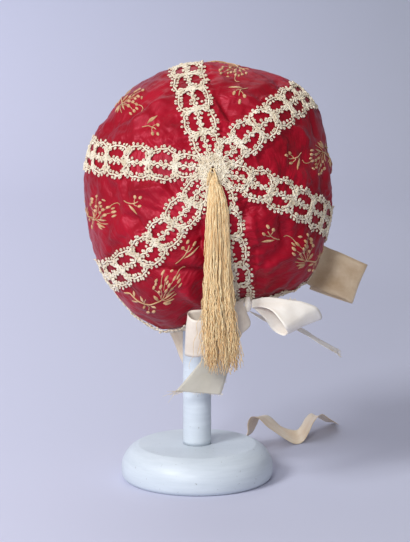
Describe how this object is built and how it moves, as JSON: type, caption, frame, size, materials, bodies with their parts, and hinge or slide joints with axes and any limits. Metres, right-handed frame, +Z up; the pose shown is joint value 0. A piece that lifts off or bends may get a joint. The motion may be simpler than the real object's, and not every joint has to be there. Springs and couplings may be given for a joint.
{
  "type": "embroidered bonnet on a turned stand",
  "caption": "Folk dress bonnet of red silk gores with openwork braid, embroidery, a tassel, a ribbon bow and chin ties, on a plain turned stand.",
  "frame": {"origin": "centre of the stand's underside, where it rests on a table", "axes": "+Z up along the stand's post, -Y towards the viewer of the bonnet's back, +Y out of its face opening, +X to the right as seen from behind"},
  "size_m": [0.2297, 0.2723, 0.3368],
  "materials": {
    "red_silk": "fine silk taffeta with creases and a soft sheen",
    "cream_braid": "matt tatted cotton braid with small picots",
    "embroidery_thread": "raised satin stitch in pale gold silk thread",
    "cream_ribbon": "thin woven silk ribbon, aged cream",
    "straw_tassel": "straw coloured silk strands",
    "painted_wood": "pale blue-grey satin paint on turned wood, slightly worn"
  },
  "bodies": {
    "root": {"stand_base": "painted_wood", "stand_post": "painted_wood", "stand_head": "painted_wood", "crown_gore_1": "red_silk", "crown_gore_2": "red_silk", "crown_gore_3": "red_silk", "crown_gore_4": "red_silk", "crown_gore_5": "red_silk", "crown_gore_6": "red_silk", "braid_arm_1": "cream_braid", "braid_arm_2": "cream_braid", "braid_arm_3": "cream_braid", "braid_arm_4": "cream_braid", "braid_arm_5": "cream_braid", "braid_arm_6": "cream_braid", "braid_centre": "cream_braid", "edge_braid": "cream_braid", "tassel": "straw_tassel", "bow_knot": "cream_ribbon", "bow_loop_left": "cream_ribbon", "bow_loop_right": "cream_ribbon", "bow_tail_left": "cream_ribbon", "bow_tail_right": "cream_ribbon", "chin_tie_left": "cream_ribbon", "chin_tie_right": "cream_ribbon"}
  },
  "joints": []
}
